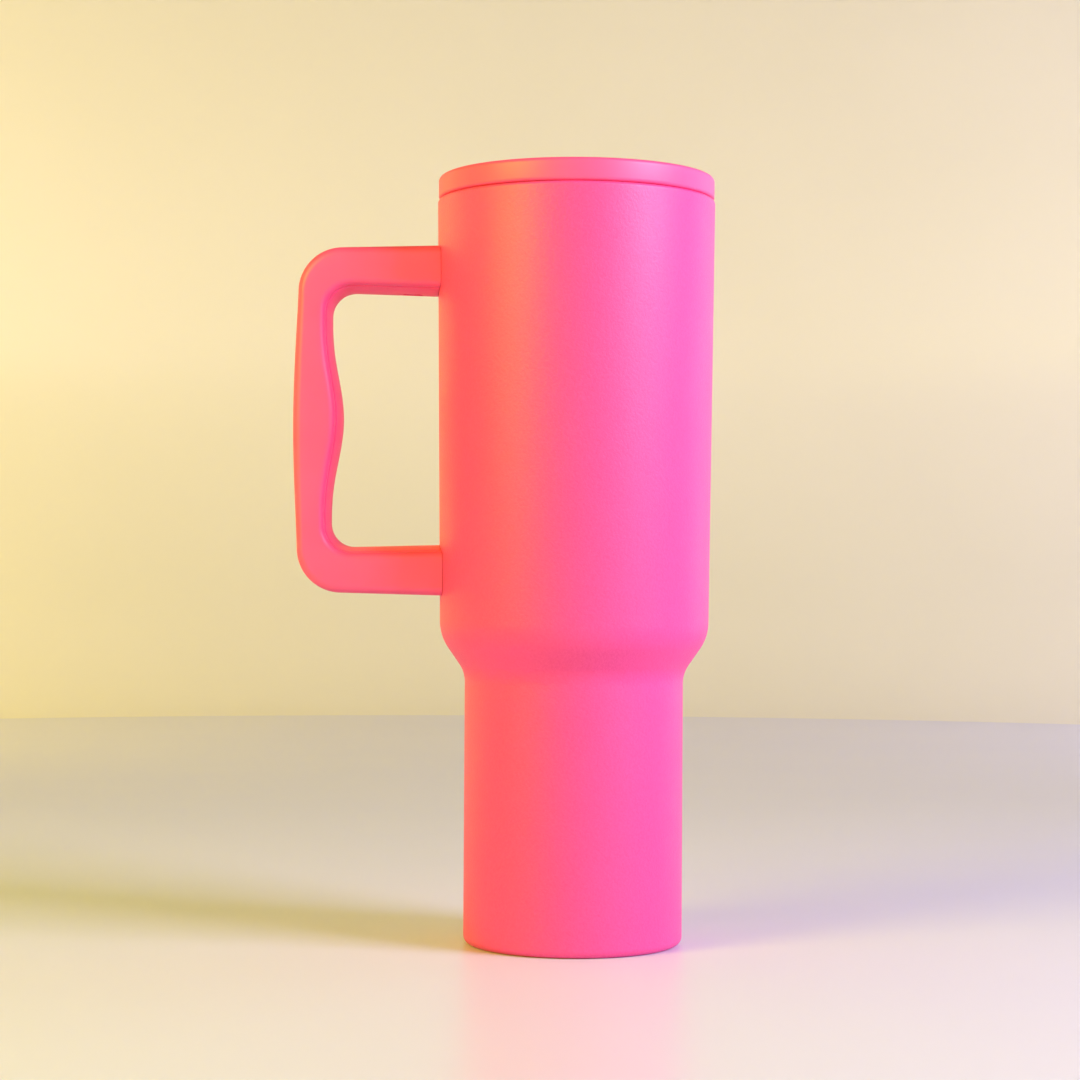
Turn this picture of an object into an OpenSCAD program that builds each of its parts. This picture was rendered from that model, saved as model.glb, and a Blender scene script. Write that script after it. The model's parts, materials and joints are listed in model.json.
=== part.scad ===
// Insulated tumbler with a side handle and a screw-on lid.
// The origin is on the cup's axis, on the surface it stands on. +Z is up, and the handle is towards -X.

/* [Body] */
// Height of the steel rim above the table
rim_h = 251.6; // [200:0.1:320]
// Outer radius at the mouth
mouth_r = 47.1; // [39:0.1:57]
// How much narrower the upper body is at the shoulder than at the mouth
body_draft = 1.6; // [0:0.1:3]
// Outer radius of the lower body, which goes into a cup holder
lower_r = 37; // [30:0.1:44.5]
// Height of the lower corner of the shoulder
shoulder_z = 91.5; // [70:0.1:115]
// Slope of the shoulder from the vertical, in degrees
shoulder_angle = 34.7; // [20:0.1:50]
// Rounding of the shoulder's lower, hollow corner
shoulder_low_round = 11; // [3:0.5:14]
// Rounding of the shoulder's upper, full corner
shoulder_top_round = 16; // [6:0.5:20]
// Rounding where the wall meets the base
base_round = 2.6; // [2:0.1:4]
// Rounding of the steel rim
rim_round = 1.3; // [1:0.1:2.4]

/* [Walls] */
// Sheet thickness of the outer shell
shell_wall = 0.6; // [0.5:0.1:1]
// Sheet thickness of the inner liner
liner_wall = 0.5; // [0.4:0.1:0.8]
// Evacuated space between shell and liner
vacuum_gap = 2.8; // [1.5:0.1:4]
// Height of the drinking floor above the table
floor_z = 7.4; // [6.9:0.1:12]
// Corner radius of the drinking floor
floor_round = 8; // [4:0.5:12]
// Height of the straight neck that the lid seals in
neck_h = 19.5; // [18:0.1:25]

/* [Base] */
// Radius of the hole that the shell's foot leaves under the base
foot_hole_r = 31; // [25:0.1:32]
// Height of the vacuum base plate above the table
base_plate_z = 3.2; // [2.8:0.1:4]
// Height of the base plate's welded skirt
base_skirt_h = 6; // [3:0.1:9]
// Thickness of the powder-coated base cover
base_cover_t = 0.8; // [0.6:0.1:1.2]
// Diameter of the vacuum port in the base plate
port_d = 2; // [1:0.1:3]

/* [Handle] */
// Height of the lower arm's middle above the shoulder's upper corner
lower_arm_rise = 22.2; // [18:0.1:30]
// Depth of the upper arm's middle below the rim
upper_arm_drop = 24.5; // [18:0.1:34]
// Height of the upper arm at the elbow
upper_arm_h = 14.1; // [12:0.1:18]
// Height of the lower arm at the elbow
lower_arm_h = 14.9; // [12:0.1:20]
// How much each side of an arm opens out towards the body
arm_flare = 1.3; // [0:0.05:1.6]
// Clear width of the finger gap beside the grip
finger_gap = 36.3; // [28:0.1:46]
// Thickness of the grip at its ends
grip_t = 11; // [8:0.1:14]
// How far the middle of the grip's outer face bulges
grip_bulge = 1.5; // [0:0.1:3]
// How far the finger swell stands into the gap
swell = 3.9; // [0:0.1:6]
// Width of the handle from side to side
handle_w = 23; // [18:0.1:28]
// Thickness of the soft insert on the inner face, in its middle
insert_t = 2.1; // [1.6:0.1:2.4]
// How much thinner the insert is along its edges
insert_crown = 1.7; // [0.2:0.1:1.8]
// How much narrower the insert is than the handle, on each side
insert_step = 2.6; // [0.2:0.1:3]
// Rounding of the handle's outer corners, seen from the side
outer_corner = 15; // [8:0.5:18]
// Rounding of the handle's inner corners, seen from the side
inner_corner = 8; // [5:0.5:12]
// Rounding along the handle's outer edges
outer_edge = 3; // [1:0.1:4]
// Gap between the handle's arms and the body
handle_gap = 0.15; // [0.1:0.05:0.5]

/* [Handle fixing] */
// Length of a lug from the body
lug_l = 16; // [14:0.1:20]
// Width of a lug
lug_w = 12; // [10:0.1:14]
// Height of a lug
lug_h = 6.4; // [5:0.1:7]
// Width of a lug's welded foot
lug_foot_w = 16; // [14:0.1:18]
// Height of a lug's welded foot
lug_foot_h = 8; // [7:0.1:9]
// Thickness of a lug's welded foot
lug_foot_t = 1.4; // [1:0.1:2]
// Clearance between a lug and its socket
lug_clear = 0.2; // [0.1:0.05:0.4]
// Distance of the screws from the body
screw_reach = 8.6; // [7:0.1:10]
// Diameter of the handle screws
screw_d = 4; // [3:0.1:5]
// Diameter of a screw's head
screw_head_d = 6.2; // [5.5:0.1:6.6]
// Height of a screw's head
screw_head_h = 1.8; // [1.5:0.1:2.2]
// Diameter of the hole for a screw's head and its plug
plug_d = 6.8; // [6.7:0.1:8]
// Thickness of the plastic under a screw's head
screw_shelf = 1.2; // [1:0.1:1.6]

/* [Lid] */
// Height of the lid's visible band
lid_band_h = 7.6; // [7.5:0.1:12]
// Gap between the lid and the steel rim
lid_seam = 0.1; // [0.05:0.05:0.8]
// Rounding of the lid's upper edge
lid_edge = 1.6; // [0.5:0.1:2]
// Rounding of the lid band's lower edge, beside the seam
lid_low_edge = 1.2; // [0.3:0.1:1.8]
// How much smaller the lid's radius is than the mouth's
lid_step = 0.25; // [0:0.05:0.5]
// Width of the lid's rim around the cover
lid_rim_w = 3; // [2.6:0.1:4]
// Depth of the deck below the lid's rim
deck_drop = 3.6; // [3.5:0.1:4.5]
// Thickness of the deck
deck_t = 2; // [1.8:0.1:3]
// Depth of the plug below the underside of the lid's band
plug_h = 15.1; // [14.8:0.1:17]
// Thickness of the plug's wall
plug_wall = 2.4; // [2:0.1:3]
// Thickness of the plate that closes the bottom of the lid
lower_plate_t = 1.6; // [1.2:0.1:2]
// Height of the silicone gasket
gasket_h = 2.6; // [2:0.1:3]
// Depth of the gasket's groove
gasket_groove = 0.9; // [0.5:0.1:1.2]
// Running clearance on each side of the gasket
gasket_clear = 0.05; // [0.02:0.01:0.08]

/* [Thread] */
// Number of thread starts
thread_starts = 2; // [1:1:3]
// Rise of the thread in one turn
thread_lead = 8; // [6:0.5:10]
// Length of each thread rib in degrees
rib_angle = 78; // [50:2:80]
// Break between two ribs of one start in degrees
rib_break = 12; // [10:1:20]
// Number of ribs in each start
ribs_per_start = 2; // [1:1:3]
// Height of the liner's thread rib
thread_h = 1.2; // [0.9:0.1:1.4]
// Clearance over each thread's crest
thread_clear = 0.4; // [0.3:0.05:0.5]

/* [Cover] */
// Radial gap around the rotating cover
cover_gap = 0.35; // [0.2:0.05:0.6]
// Height of the cover above the deck
cover_lift = 0.4; // [0.3:0.05:0.6]
// Thickness of the rotating cover
cover_t = 2.2; // [2.1:0.1:2.4]
// Distance of the straw hole from the axis
straw_reach = 24; // [20:0.5:26]
// Radius of the straw hole
straw_r = 5.5; // [4:0.1:6]
// Distance from the sipping hole's far edge to the edge of the cover
sip_margin = 7; // [6:0.1:9]
// Width of the sipping hole along the rim
sip_w = 12; // [9:0.1:14]
// Width of the sipping hole across the rim
sip_d = 7; // [5:0.1:8]
// Half of the width of the cover's window
window_r = 7.5; // [7.1:0.1:8]
// Turn of the cover from closed to each hole, in degrees
cover_turn = 90; // [60:1:100]
// Radius of the post that the cover turns on
post_r = 4; // [3:0.1:5]
// Running clearance between post and cover
post_clear = 0.05; // [0.02:0.01:0.08]

/* [Hidden] */
$fn = 96;

// Overlap that joins two shapes into one, and how far a cut reaches past a surface
eps = 0.01;
cut_past = 1;
powder_pink = [0.98, 0.30, 0.55];
moulded_pink = [0.98, 0.34, 0.58];
soft_pink = [0.96, 0.42, 0.60];
steel = [0.75, 0.76, 0.78];
silicone = [0.93, 0.92, 0.90];

// ---- Body wall -------------------------------------------------------------------------------

shoulder_r = mouth_r - body_draft;
shoulder_top_z = shoulder_z + (shoulder_r - lower_r) / tan(shoulder_angle);
// The part of the shoulder's straight slope that each of its two roundings may use
shoulder_reach = 0.48 * (shoulder_r - lower_r) / sin(shoulder_angle);
round_limit = shoulder_reach / tan(shoulder_angle / 2);
low_round = min(shoulder_low_round, round_limit);
top_round = min(shoulder_top_round, round_limit);

// Radius of the upper wall at height z, a distance inset inside the outer surface
function wall_r(z, inset = 0) =
    shoulder_r - inset + body_draft * (z - shoulder_top_z) / (rim_h - shoulder_top_z);

// The wall's two shoulder corners, inset from the outer surface, as [radius, height, rounding]
function shoulder(inset) =
    let (rise = inset * tan(shoulder_angle / 2))
    [[lower_r - inset, shoulder_z + rise, low_round + inset],
     [shoulder_r - inset, shoulder_top_z + rise, max(top_round - inset, 0.5)]];

liner_out = shell_wall + vacuum_gap;
liner_in = liner_out + liner_wall;
neck_z = rim_h - neck_h;
neck_r = wall_r(neck_z, liner_in);
lip_r = neck_r + liner_wall;

// ---- Rounded outlines ------------------------------------------------------------------------

arc_steps = 8;

function unit(v) = v / norm(v);

// Points of the rounding of corner b, between a and c
function corner(a, b, c, steps) =
    let (r = b[2],
         here = [b[0], b[1]],
         to_a = unit([a[0], a[1]] - here),
         to_c = unit([c[0], c[1]] - here),
         half = acos(to_a * to_c) / 2,
         middle = here + unit(to_a + to_c) * r / sin(half),
         first = here + to_a * r / tan(half) - middle,
         last = here + to_c * r / tan(half) - middle,
         sweep = 180 - 2 * half)
    [for (i = [0:steps])
        middle + (first * sin(sweep * (1 - i / steps)) + last * sin(sweep * i / steps)) / sin(sweep)];

// A closed outline of [x, y, rounding] corners, as points
function rounded(outline, steps = arc_steps) =
    let (n = len(outline))
    [for (i = [0:n - 1])
        each (outline[i][2] > 0
            ? corner(outline[(i + n - 1) % n], outline[i], outline[(i + 1) % n], steps)
            : [[outline[i][0], outline[i][1]]])];

function reversed(list) = [for (i = [len(list) - 1:-1:0]) list[i]];

module turned(outline) {
    rotate_extrude()
        polygon(rounded(outline));
}

// ---- Cup -------------------------------------------------------------------------------------

// The upper body's outer cone as a solid, grown outwards by a gap
module upper_body(gap = 0) {
    translate([0, 0, shoulder_top_z])
        cylinder(h = rim_h - shoulder_top_z, r1 = shoulder_r + gap, r2 = mouth_r + gap);
}

module outer_shell() {
    color(powder_pink)
        turned(concat(
            [[foot_hole_r, 0, 0], [lower_r, 0, base_round]],
            shoulder(0),
            [[mouth_r, rim_h, rim_round],
             [lip_r, rim_h, 0],
             [lip_r, rim_h - shell_wall, 0],
             [mouth_r - shell_wall, rim_h - shell_wall, rim_round - shell_wall]],
            reversed(shoulder(shell_wall)),
            [[lower_r - shell_wall, shell_wall, base_round - shell_wall],
             [foot_hole_r, shell_wall, 0]]
        ));
}

module inner_liner() {
    color(steel) {
        turned(concat(
            [[0, floor_z - liner_wall, 0],
             [lower_r - liner_out, floor_z - liner_wall, floor_round + liner_wall]],
            shoulder(liner_out),
            [[lip_r, neck_z, 0],
             [lip_r, rim_h, 0],
             [neck_r, rim_h, liner_wall / 2],
             [neck_r, neck_z, 0]],
            reversed(shoulder(liner_in)),
            [[lower_r - liner_in, floor_z, floor_round],
             [0, floor_z, 0]]
        ));
        thread(neck_r + liner_wall / 2, neck_r - thread_h, thread_z);
    }
}

base_skirt_r = lower_r - shell_wall;
base_plate_t = shell_wall;

module vacuum_base_plate() {
    color(steel)
        difference() {
            turned([
                [0, base_plate_z, 0],
                [base_skirt_r, base_plate_z, base_plate_t * 1.5],
                [base_skirt_r, base_plate_z + base_skirt_h, 0],
                [base_skirt_r - base_plate_t, base_plate_z + base_skirt_h, 0],
                [base_skirt_r - base_plate_t, base_plate_z + base_plate_t, base_plate_t * 0.5],
                [0, base_plate_z + base_plate_t, 0]
            ]);
            translate([0, 0, base_plate_z - cut_past])
                cylinder(h = base_plate_t + 2 * cut_past, d = port_d);
        }
}

// Bead of sealing glass, which fills the port and closes it from below
module vacuum_seal() {
    bead_h = 0.9;
    bead_r = port_d * 1.4;
    color([0.45, 0.42, 0.38]) {
        translate([0, 0, base_plate_z - bead_h])
            cylinder(h = bead_h, r1 = bead_r * 0.7, r2 = bead_r);
        translate([0, 0, base_plate_z - eps])
            cylinder(h = base_plate_t + eps, d = port_d);
    }
}

// Capsule that keeps the vacuum, on the base plate: a pan filled to half its height
module getter() {
    getter_h = 1.6;
    getter_r = 4;
    getter_wall = 0.8;
    color([0.6, 0.6, 0.62])
        translate([lower_r / 2, 0, base_plate_z + base_plate_t])
            difference() {
                cylinder(h = getter_h, r = getter_r);
                translate([0, 0, getter_h / 2])
                    cylinder(h = getter_h, r = getter_r - getter_wall);
            }
}

// Disc that rests on the shell's foot from inside and hides the base plate
module base_cover() {
    overlap = 2.5;
    cover_edge = foot_hole_r + overlap;
    cover_top_z = shell_wall + base_cover_t;
    color(powder_pink)
        turned([
            [0, shell_wall, 0], [cover_edge, shell_wall, 0],
            [cover_edge, cover_top_z, base_cover_t / 3], [0, cover_top_z, 0]
        ]);
}

// ---- Handle ----------------------------------------------------------------------------------

upper_arm_z = rim_h - upper_arm_drop;
lower_arm_z = shoulder_top_z + lower_arm_rise;
grip_z = (upper_arm_z + lower_arm_z) / 2;
grip_in = wall_r(grip_z) + finger_gap;
grip_out = grip_in + grip_t;
// The arms start inside the body's outline, and are cut to fit it
arm_start = lower_r;

// Outline of one side of the handle: both arms and the grip, as [reach, height, rounding]
function side_of_handle(reach, sign, round) =
    let (top = upper_arm_z + sign * upper_arm_h / 2,
         bottom = lower_arm_z - sign * lower_arm_h / 2,
         flare = sign * arm_flare)
    [[arm_start, top + flare, 0], [reach, top, round],
     [reach, bottom, round], [arm_start, bottom - flare, 0]];

corner_steps = 10;
grip_steps = 16;
ring_steps = 4;
face_steps = 8;

// Points along one side, with the grip's face pushed out by depth times a shape along it
function side_points(side, depth, power) =
    let (top = corner(side[0], side[1], side[2], corner_steps),
         bottom = corner(side[1], side[2], side[3], corner_steps),
         from = top[corner_steps],
         to = bottom[0])
    concat(
        [[side[0][0], side[0][1]]],
        top,
        [for (i = [1:grip_steps - 1])
            let (t = i / grip_steps)
            from + (to - from) * t + [depth * pow(sin(180 * t), power), 0]],
        bottom,
        [[side[3][0], side[3][1]]]
    );

// A long even bulge outside, and a swell that is short enough to sit between two fingers
bulge_power = 1.2;
swell_power = 2.8;
outer_side = side_points(side_of_handle(grip_out, 1, outer_corner), grip_bulge, bulge_power);
inner_side = side_points(side_of_handle(grip_in, -1, inner_corner), -swell, swell_power);
stations = len(outer_side);

// A cross-section of the handle at one station, between two distances from the inner side.
// The crown is how far the edges of the near face lie behind its middle.
function handle_ring(station, near, far, width, near_round, far_round, crown = 0) =
    let (a = inner_side[station],
         b = outer_side[station],
         along = unit(b - a),
         whole = norm(b - a),
         far_end = far < 0 ? whole : far,
         core = width - 2 * near_round,
         near_face = crown > 0 ? [for (i = [1:face_steps - 1]) [near, core * (0.5 - i / face_steps)]] : [],
         flat = rounded([[near, -width / 2, near_round], [far_end, -width / 2, far_round],
                         [far_end, width / 2, far_round], [near, width / 2, near_round]],
                        ring_steps))
    [for (p = concat(flat, near_face))
        let (back = crown * pow(2 * p[1] / width, 2) * (far_end - p[0]) / (far_end - near),
             reach = p[0] + back)
        [-(a[0] + along[0] * reach), p[1], a[1] + along[1] * reach]];

// A closed skin over a list of rings with the same number of points
module skin(rings) {
    n = len(rings[0]);
    last = len(rings) - 1;
    walls = [for (i = [0:last - 1], j = [0:n - 1])
        let (a = i * n + j, b = i * n + (j + 1) % n)
        each [[a, b + n, b], [a, a + n, b + n]]];
    caps = [[for (j = [0:n - 1]) j], [for (j = [n - 1:-1:0]) last * n + j]];
    polyhedron([for (ring = rings) each ring], concat(walls, caps), convexity = 8);
}

// The handle's holes for one lug and its screw
module arm_cuts(arm_z, arm_h) {
    below = arm_z - arm_h / 2 - arm_flare;
    lug(arm_z, lug_clear);
    screw_at(arm_z) {
        translate([0, 0, below - cut_past])
            cylinder(h = shelf_z(arm_z) + cut_past - below, d = plug_d);
        translate([0, 0, below])
            cylinder(h = arm_z - below, d = screw_d + 2 * lug_clear);
    }
}

module both_arm_cuts() {
    upper_body(handle_gap);
    arm_cuts(upper_arm_z, upper_arm_h);
    arm_cuts(lower_arm_z, lower_arm_h);
}

// The frame runs from the insert to the handle's outer side, whose distance changes along it
to_outer_side = -1;
frame_inner_edge = 2.6;
insert_edge = 0.6;
insert_seam_edge = 0.15;

module handle_frame() {
    color(moulded_pink)
        difference() {
            skin([for (i = [0:stations - 1])
                handle_ring(i, insert_t, to_outer_side, handle_w, frame_inner_edge, outer_edge)]);
            both_arm_cuts();
        }
}

module grip_insert() {
    color(soft_pink)
        difference() {
            skin([for (i = [0:stations - 1])
                handle_ring(i, 0, insert_t, handle_w - 2 * insert_step, insert_edge, insert_seam_edge,
                            insert_crown)]);
            both_arm_cuts();
        }
}

// Moves its children to the axis of the screw in the arm at height arm_z
module screw_at(arm_z) {
    translate([-(wall_r(arm_z) + screw_reach), 0, 0])
        children();
}

// Height of the shelf that a screw's head pulls against
function shelf_z(arm_z) = arm_z - lug_h / 2 - lug_clear - screw_shelf;

// A lug with its welded foot, or the socket for it when grown by a clearance
module lug(arm_z, grow = 0) {
    far = wall_r(arm_z);
    for (size = [[lug_l, lug_w, lug_h], [lug_foot_t, lug_foot_w, lug_foot_h]])
        translate([-far - size[0] - grow, -size[1] / 2 - grow, arm_z - size[2] / 2 - grow])
            cube([size[0] + grow + far - arm_start, size[1] + 2 * grow, size[2] + 2 * grow]);
}

module handle_lug(arm_z) {
    color(steel)
        difference() {
            lug(arm_z);
            upper_body();
            screw_at(arm_z)
                translate([0, 0, arm_z - lug_h])
                    cylinder(h = 2 * lug_h, d = screw_d);
        }
}

module handle_screw(arm_z) {
    head_z = shelf_z(arm_z) - screw_head_h;
    color(steel)
        screw_at(arm_z)
            difference() {
                union() {
                    translate([0, 0, head_z])
                        cylinder(h = screw_head_h, d = screw_head_d);
                    translate([0, 0, head_z + eps])
                        cylinder(h = arm_z + lug_h / 2 - head_z, d = screw_d);
                }
                translate([0, 0, head_z - eps])
                    cylinder(h = screw_head_h * 0.6, d = screw_d * 0.7, $fn = 6);
            }
}

// Plug under a screw's head, which lies a little inside the arm's underside
module screw_plug(arm_z, arm_h) {
    sunk = 0.3;
    fit_gap = 0.05;
    bottom = arm_z - (arm_h + arm_flare) / 2 + sunk;
    color(moulded_pink)
        screw_at(arm_z)
            translate([0, 0, bottom])
                cylinder(h = shelf_z(arm_z) - screw_head_h - bottom, d = plug_d - 2 * fit_gap);
}

// ---- Lid -------------------------------------------------------------------------------------

lid_z = rim_h + lid_seam;
lid_top = lid_z + lid_band_h;
lid_r = mouth_r - lid_step;
well_r = lid_r - lid_rim_w;
deck_top = lid_top - deck_drop;
deck_bottom = deck_top - deck_t;
plug_z = lid_z - plug_h;
plug_r = neck_r - thread_h - thread_clear;
plug_in = plug_r - plug_wall;
band_t = 2.4;
band_in = lid_r - band_t;
gasket_r = neck_r - gasket_clear;
groove_r = plug_r - gasket_groove;
gasket_drop = 1.4;
groove_top = lid_z - gasket_drop;
groove_z = groove_top - gasket_h;
lid_thread_r = neck_r - thread_clear;
pitch = thread_lead / thread_starts;
thread_rise = thread_lead * ribs_per_start * (rib_angle + rib_break) / 360;
// Root half-width of a thread rib, and its half-width at the crest
rib_root = pitch * 0.3;
rib_crest = pitch * 0.15;
// The liner's rib starts here, and the lid's rib half a pitch lower
thread_to_groove = 0.5;
thread_z = groove_z - thread_rise - rib_root - thread_to_groove;

sip_reach = well_r - cover_gap - sip_margin - sip_d / 2;
tube_wall = 1.5;

// An interrupted thread: short tilted ribs that follow the helix, from a root to a crest radius
module thread(root, crest, z) {
    tilt = atan(thread_lead / (2 * PI * neck_r));
    step = rib_angle + rib_break;
    for (start = [0:thread_starts - 1], k = [0:ribs_per_start - 1])
        let (turn = (k + 0.5) * step)
        translate([0, 0, z + thread_lead * turn / 360])
            rotate([0, 0, 360 * start / thread_starts + turn])
                rotate([tilt, 0, 0])
                    rotate([0, 0, -rib_angle / 2])
                        rotate_extrude(angle = rib_angle)
                            polygon([[root, -rib_root], [crest, -rib_crest],
                                     [crest, rib_crest], [root, rib_root]]);
}

// A round hole, or a slot with round ends when length is more than twice r
module slot(h, r, length = 0) {
    run = max(length - 2 * r, 0);
    if (run > 0)
        translate([-run / 2, -r, 0])
            cube([run, 2 * r, h]);
    for (x = run > 0 ? [-run / 2, run / 2] : [0])
        translate([x, 0, 0])
            cylinder(h = h, r = r);
}

module at_straw() {
    translate([0, straw_reach, 0])
        children();
}

module at_sip() {
    translate([0, -sip_reach, 0])
        children();
}

seal_lip = 2.2;
seal_seat = 1;
// Boss under the deck for the cover's screw
boss_r = 4.6;
boss_h = 8;
boss_floor = 1;
boss_z = deck_bottom - boss_h;
// Stop lug under the cover, which runs in a groove in the deck
lug_reach = 12;
lug_r = 1.5;
groove_depth = 1.2;
groove_gap = 0.35;
// The vent is on the sipping hole's side, inside the window when that hole is open
vent_r = 1;
vent_reach = straw_reach - 3;
// Recess below the plug's edge that the lower plate sits in
plate_recess = 0.6;

module lid_body() {
    color(moulded_pink)
        difference() {
            union() {
                turned([
                    [0, deck_bottom, 0], [plug_in, deck_bottom, 1], [plug_in, plug_z, 0.5],
                    [plug_r, plug_z, 0.6], [plug_r, groove_z, 0], [groove_r, groove_z, 0],
                    [groove_r, groove_top, 0], [plug_r, groove_top, 0], [plug_r, deck_bottom, 0.5],
                    [band_in, deck_bottom, 0.5], [band_in, lid_z, 0.3], [lid_r, lid_z, lid_low_edge],
                    [lid_r, lid_top, lid_edge], [well_r, lid_top, 0.6], [well_r, deck_top, 0.4],
                    [0, deck_top, 0]
                ]);
                thread(plug_r - plug_wall / 4, lid_thread_r, thread_z - pitch / 2);
                tube_h = deck_bottom - plug_z + deck_t / 4;
                at_straw()
                    translate([0, 0, plug_z])
                        slot(tube_h, straw_r + tube_wall);
                at_sip()
                    translate([0, 0, plug_z])
                        slot(tube_h, sip_d / 2 + tube_wall, sip_w + 2 * tube_wall);
                translate([0, 0, boss_z])
                    cylinder(h = deck_bottom - boss_z + eps, r = boss_r);
                translate([0, 0, deck_top - eps])
                    cylinder(h = post_top - deck_top + eps, r = post_r);
            }
            at_straw() {
                translate([0, 0, plug_z - cut_past])
                    slot(lid_top - plug_z, straw_r);
                translate([0, 0, deck_top - seal_seat])
                    slot(seal_seat + cut_past, straw_r + seal_lip);
            }
            at_sip() {
                translate([0, 0, plug_z - cut_past])
                    slot(lid_top - plug_z, sip_d / 2, sip_w);
                translate([0, 0, deck_top - seal_seat])
                    slot(seal_seat + cut_past, sip_d / 2 + seal_lip, sip_w + 2 * seal_lip);
            }
            vent_hole();
            translate([0, 0, boss_z + boss_floor])
                cylinder(h = lid_top, d = cover_screw_d);
            stop_groove();
        }
}

// Blind arc groove in the deck, which the cover's lug runs in from one stop to the other
module stop_groove() {
    spare_turn = 2;
    half_angle = cover_turn + asin(lug_r / lug_reach) + spare_turn;
    half_w = lug_r + groove_gap;
    translate([0, 0, deck_top - groove_depth])
        rotate([0, 0, 180 - half_angle])
            rotate_extrude(angle = 2 * half_angle)
                translate([lug_reach - half_w, 0])
                    square([2 * half_w, groove_depth + cut_past]);
}

module vent_hole() {
    translate([0, -vent_reach, plug_z - cut_past])
        cylinder(h = lid_top - plug_z, r = vent_r);
}

module lid_lower_plate() {
    clear = 0.1;
    cut_h = plate_recess + lower_plate_t + cut_past;
    color(moulded_pink)
        difference() {
            translate([0, 0, plug_z + plate_recess])
                cylinder(h = lower_plate_t, r = plug_in - clear);
            at_straw()
                translate([0, 0, plug_z])
                    slot(cut_h, straw_r + tube_wall + clear);
            at_sip()
                translate([0, 0, plug_z])
                    slot(cut_h, sip_d / 2 + tube_wall + clear, sip_w + 2 * (tube_wall + clear));
            vent_hole();
        }
}

// Ring with two rounded sealing lips and a groove between them
module lid_gasket() {
    lip = 0.5;
    lip_gap = 0.6;
    low = groove_z + gasket_clear;
    high = groove_top - gasket_clear;
    middle = (low + high) / 2;
    color(silicone)
        turned([
            [groove_r + gasket_clear, low, 0],
            [gasket_r, low, lip],
            [gasket_r, middle - lip_gap / 2, 0],
            [gasket_r - lip, middle, 0],
            [gasket_r, middle + lip_gap / 2, 0],
            [gasket_r, high, lip],
            [groove_r + gasket_clear, high, 0]
        ]);
}

// A flat silicone ring that fills its seat in the deck and stands a little above it
module hole_seal(r, length = 0) {
    color(silicone)
        translate([0, 0, deck_top - seal_seat])
            difference() {
                slot(seal_seat + cover_lift / 2, r + seal_lip, length > 0 ? length + 2 * seal_lip : 0);
                translate([0, 0, -cut_past])
                    slot(seal_seat + cover_lift + 2 * cut_past, r, length);
            }
}

module straw_hole_seal() {
    at_straw()
        hole_seal(straw_r);
}

module sip_hole_seal() {
    at_sip()
        hole_seal(sip_d / 2, sip_w);
}

cover_z = deck_top + cover_lift;
cover_top = cover_z + cover_t;
cover_r = well_r - cover_gap;
cover_screw_d = 3;
// Recess in the cover's middle, whose floor the washer holds down
cup_r = 9.2;
cup_floor_t = 1;
cup_floor = cover_z + cup_floor_t;
cover_play = 0.15;
post_top = cup_floor + cover_play;
washer_r = 7;
washer_t = 0.5;
screw_seat = post_top + washer_t;
pan_r = 2.8;
pan_h = 0.8;
screw_socket_r = 1.2;

// Disc with a window, a ridge for the finger on the other side, and the stop lug below the ridge
module rotating_cover() {
    window_margin = 3.5;
    window_far = cover_r - window_r - window_margin;
    ridge_w = 6;
    ridge_margin = 3;
    ridge_below_rim = 0.1;
    sunk = 0.5;
    lug_gap = 0.3;
    color(moulded_pink)
        difference() {
            union() {
                turned([
                    [0, cover_z, 0], [cover_r, cover_z, 0.3],
                    [cover_r, cover_top, 0.6], [0, cover_top, 0]
                ]);
                translate([-lug_reach, 0, deck_top - groove_depth + cover_lift + lug_gap])
                    cylinder(h = groove_depth, r = lug_r);
                translate([-(cup_r + cover_r) / 2, 0, cover_top - sunk])
                    slot(lid_top - ridge_below_rim - cover_top + sunk, ridge_w / 2,
                         cover_r - cup_r - 2 * ridge_margin);
            }
            translate([(straw_reach + window_far) / 2, 0, cover_z - cut_past])
                slot(cover_t + 2 * cut_past, window_r, window_far - straw_reach + 2 * window_r);
            translate([0, 0, cup_floor])
                cylinder(h = cover_t, r = cup_r);
            translate([0, 0, cover_z - cut_past])
                cylinder(h = cover_t, r = post_r + post_clear);
        }
}

module cover_washer() {
    color(steel)
        translate([0, 0, post_top])
            difference() {
                cylinder(h = washer_t, r = washer_r);
                translate([0, 0, -cut_past])
                    cylinder(h = washer_t + 2 * cut_past, d = cover_screw_d);
            }
}

module cover_screw() {
    shank_z = boss_z + boss_floor + 0.5;
    color(steel)
        difference() {
            union() {
                translate([0, 0, screw_seat])
                    cylinder(h = pan_h, r = pan_r);
                translate([0, 0, shank_z])
                    cylinder(h = screw_seat + eps - shank_z, d = cover_screw_d);
            }
            translate([0, 0, screw_seat + pan_h * 0.4])
                cylinder(h = pan_h, r = screw_socket_r, $fn = 6);
        }
}

module cover_cap() {
    side_gap = 0.3;
    pan_gap = 0.1;
    edge = 0.5;
    cap_r = cup_r - side_gap;
    cap_top = lid_top - 0.2;
    color(moulded_pink)
        difference() {
            turned([
                [0, screw_seat, 0], [cap_r, screw_seat, 0], [cap_r, cap_top, edge], [0, cap_top, 0]
            ]);
            translate([0, 0, screw_seat - cut_past])
                cylinder(h = cut_past + pan_h, r = pan_r + pan_gap);
        }
}

// ---- Nodes -----------------------------------------------------------------------------------

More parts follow.
